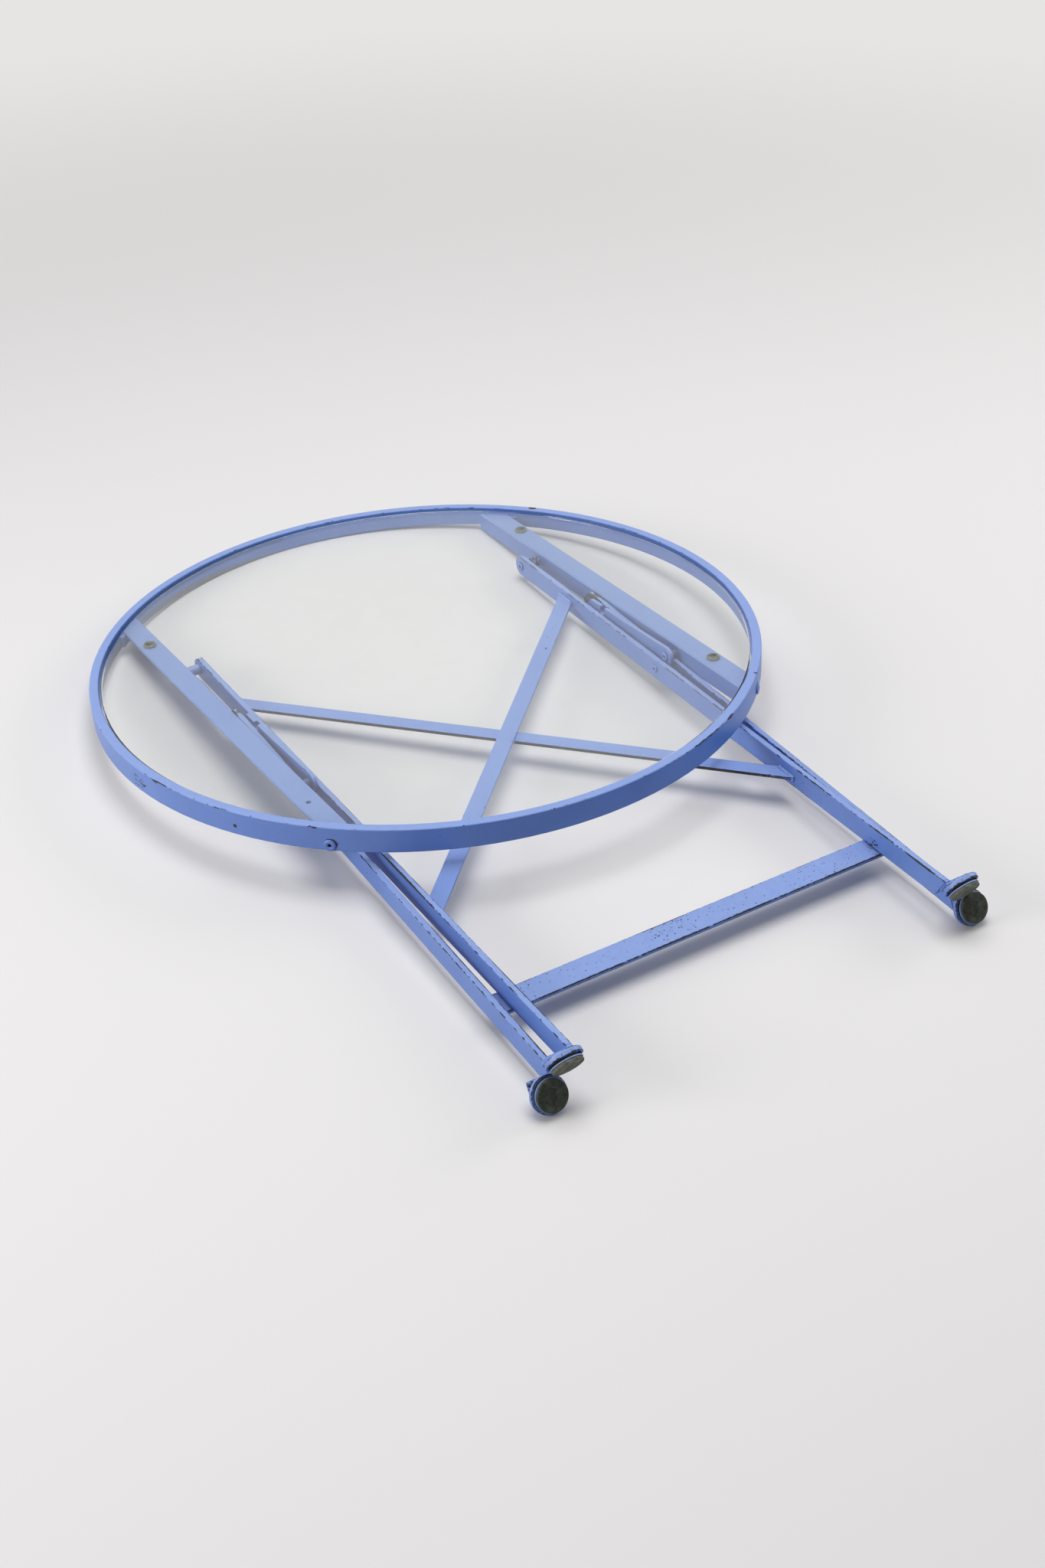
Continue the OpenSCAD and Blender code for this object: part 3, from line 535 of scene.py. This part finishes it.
def rubber(name, look):
    made, tree = blank(name)
    place = put(tree, "TexCoord")
    local = inPlace(tree, place, look["place"])
    dust = put(tree, "TexNoise", {
        "Vector": local, "Scale": 1 / look["size"], "Detail": 5, "Roughness": 0.65})
    much = put(tree, "MapRange", {"Value": dust, "From Min": 0.38, "From Max": 0.68})
    tone = put(tree, "Mix", {"Factor": much, "A": colour(look["dark"]),
                             "B": colour(look["pale"])}, data_type="RGBA")
    # what lies within or beyond an oval, on both sides of the middle
    even = put(tree, "VectorMath", {0: local}, operation="ABSOLUTE")
    mark = put(tree, "MapRange", {
        "Value": farness(tree, even, look["middle"], look["half"]),
        "From Min": look["span"][0], "From Max": look["span"][1]})
    if look["line"]:
        # and only below this height
        up = put(tree, "SeparateXYZ", {0: local}).outputs["Z"]
        under = put(tree, "Math", {0: up, 1: look["line"]}, operation="LESS_THAN")
        mark = put(tree, "Math", {0: mark, 1: under}, operation="MULTIPLY")
    tone = put(tree, "Mix", {"Factor": mark, "A": tone, "B": colour(look["mark"])},
               data_type="RGBA")
    smear = put(tree, "TexNoise", {
        "Vector": local, "Scale": 1 / moulded["smears"], "Detail": 4, "Distortion": 1})
    smear = put(tree, "MapRange", {"Value": smear, "From Min": 0.58, "From Max": 0.75,
                                   "To Min": 0, "To Max": look["smear"]})
    tone = put(tree, "Mix", {"Factor": smear, "A": tone, "B": colour(moulded["paint"])},
               data_type="RGBA")
    grit = put(tree, "TexNoise", {"Vector": local, "Scale": 1 / moulded["grit"], "Detail": 3})
    relief = put(tree, "Bump", {
        "Height": grit, "Distance": moulded["gritDepth"] * mm, "Strength": 0.6})
    skin = put(tree, "BsdfPrincipled", {
        "Base Color": tone, "Roughness": moulded["rough"], "Normal": relief,
        "Specular IOR Level": moulded["shine"]})
    put(tree, "OutputMaterial", {"Surface": skin})
    return made


padLook = {
    "dark": {"inner": "#3E413A", "outer": "#25281F"},
    "pale": {"inner": "#74776C", "outer": "#4C5047"}, "size": 8,
    "middle": (0, 0, 0), "half": (14.5, 14.5, 900), "span": (0.955, 0.97), "line": 8.6,
    "mark": "#8DA6D8", "smear": 0.3}
for (leg, side), place in footPlaces.items():
    look = padLook | {
        "place": squared(place), "dark": padLook["dark"][leg], "pale": padLook["pale"][leg]}
    dress(rubber(f"{leg} {side} pad moulded rubber", look), f"{leg}_pad_{side}")
# painted shade: a dark oval where the bumper's dimple lies
bumperLook = {
    "place": top, "dark": "#5A5D53", "pale": "#868A7E", "size": 4,
    "middle": (233.8, 189.6, 0), "half": (3.6, 2.8, 900), "span": (1, 0.8), "line": None,
    "mark": "#262922", "smear": 0}
dress(rubber("bumper moulded grey rubber", bumperLook), "bumpers")

# Float glass, polished edge: clear, faintly green, under a thin film of dust that greys what lies
# below it. Lamps reach through it.
glass = {"tint": "#FAFCFB", "ior": 1.5, "smears": 9, "rough": 0.06,  # smears per metre
         "film": "#E2E8E6", "veil": (0.006, 0.03)}
made, tree = blank("float glass")
place = put(tree, "TexCoord")
smear = put(tree, "TexNoise", {
    "Vector": place.outputs["Object"], "Scale": glass["smears"], "Detail": 5,
    "Roughness": 0.6, "Distortion": 0.6})
gloss = put(tree, "MapRange", {"Value": smear, "From Min": 0.45, "From Max": 0.75,
                               "To Min": 0, "To Max": glass["rough"]})
skin = put(tree, "BsdfPrincipled", {
    "Base Color": colour(glass["tint"]), "Roughness": gloss, "IOR": glass["ior"],
    "Transmission Weight": 1})
film = put(tree, "BsdfDiffuse", {"Color": colour(glass["film"])})
veil = put(tree, "MapRange", {"Value": smear, "From Min": 0.3, "From Max": 0.7,
                              "To Min": glass["veil"][0], "To Max": glass["veil"][1]})
skin = put(tree, "MixShader", {0: veil, 1: skin, 2: film})
rays = put(tree, "LightPath").outputs
through = put(tree, "Math", {0: rays["Is Shadow Ray"], 1: rays["Is Diffuse Ray"]},
              operation="MAXIMUM")
clear = put(tree, "BsdfTransparent", {"Color": colour("#FFFFFF")})
both = put(tree, "MixShader", {0: through, 1: skin, 2: clear})
put(tree, "OutputMaterial", {"Surface": both})
dress(made, "glass")
print("materials made")

# Stick weld beads, brushed over with the same enamel: short rows of overlapping pools
welds = {
    "pool": 2.1, "foot": 1.7, "tack": 1.5,  # radii in mm
    "step": 0.5, "jitter": 0.12, "sizes": (0.8, 1.15),  # parts of the radius
    "seed": 11, "voxel": 0.55, "smoothing": 2,
    "sunk": 0.6, "short": 2,  # mm into the leg, and short of the bar's edges
    "crossing": ((-5, -303, 0), (1, -305, 0)), "toe": ((-9, -0.4, -0.4), (9, -0.4, -0.4)),
}


def weld(name, body, rows, material):
    dice = random.Random(welds["seed"])
    shape = bmesh.new()
    for place, start, end, size in rows:
        start, end = Vector(start), Vector(end)
        count = max(1, round((end - start).length / (size * welds["step"])))
        for step in range(count + 1):
            stray = Vector([dice.uniform(-1, 1) for axis in range(3)]) * size * welds["jitter"]
            pool = bmesh.ops.create_icosphere(
                shape, subdivisions=2, radius=size * dice.uniform(*welds["sizes"]))
            bmesh.ops.translate(
                shape, verts=pool["verts"], vec=start.lerp(end, step / count) + stray)
            for vert in pool["verts"]:
                vert.co = place @ (vert.co * mm)
    mesh = bpy.data.meshes.new(name)
    shape.to_mesh(mesh)
    shape.free()
    piece = bpy.data.objects.new(name, mesh)
    bpy.context.collection.objects.link(piece)
    melt = piece.modifiers.new("melt", "REMESH")
    melt.mode = "VOXEL"
    melt.voxel_size = welds["voxel"] * mm
    melt.use_smooth_shade = True
    soften = piece.modifiers.new("soften", "SMOOTH")
    soften.iterations = welds["smoothing"]
    mesh.materials.append(material)
    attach(piece, body)


bead = enamel("weld brushed enamel", wear(
    place=inner, section="sides", wide=(0, 900), high=(-200, 200), edge=0, face=0.24, grain=2,
    draw=1))
# both faces of each strip's two ends, the tack where the strips cross, and the foot plates
rows = []
reach = innerFace - welds["sunk"]
for name, strip in strips.items():
    rise = strip["to"] - strip["from"]
    half = brace["half"] * math.hypot(rise, 2 * innerFace) / (2 * innerFace)
    for sign, y in ((strip["side"], -strip["from"]), (-strip["side"], -strip["to"])):
        for level in (strip["low"], strip["low"] + brace["thick"]):
            start = (sign * reach, y + half - welds["short"], level)
            end = (sign * reach, y - half + welds["short"], level)
            rows.append((inner, start, end, welds["pool"]))
rows.append((inner, *welds["crossing"], welds["tack"]))
for side in ("left", "right"):
    rows.append((footPlaces["inner", side], *welds["toe"], welds["foot"]))
weld("inner_frame_welds", "inner_frame", rows, bead)
# both faces of the stretcher's two ends, and the foot plates
rows = []
reach = outerFace - welds["sunk"]
low, high = stretcher["wide"]
for sign in (-1, 1):
    for level in stretcher["high"]:
        start = (sign * reach, high - welds["short"], level)
        end = (sign * reach, low + welds["short"], level)
        rows.append((outer, start, end, welds["pool"]))
for side in ("left", "right"):
    rows.append((footPlaces["outer", side], *welds["toe"], welds["foot"]))
weld("outer_frame_welds", "outer_frame", rows, bead)
print("welds made")

low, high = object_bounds()
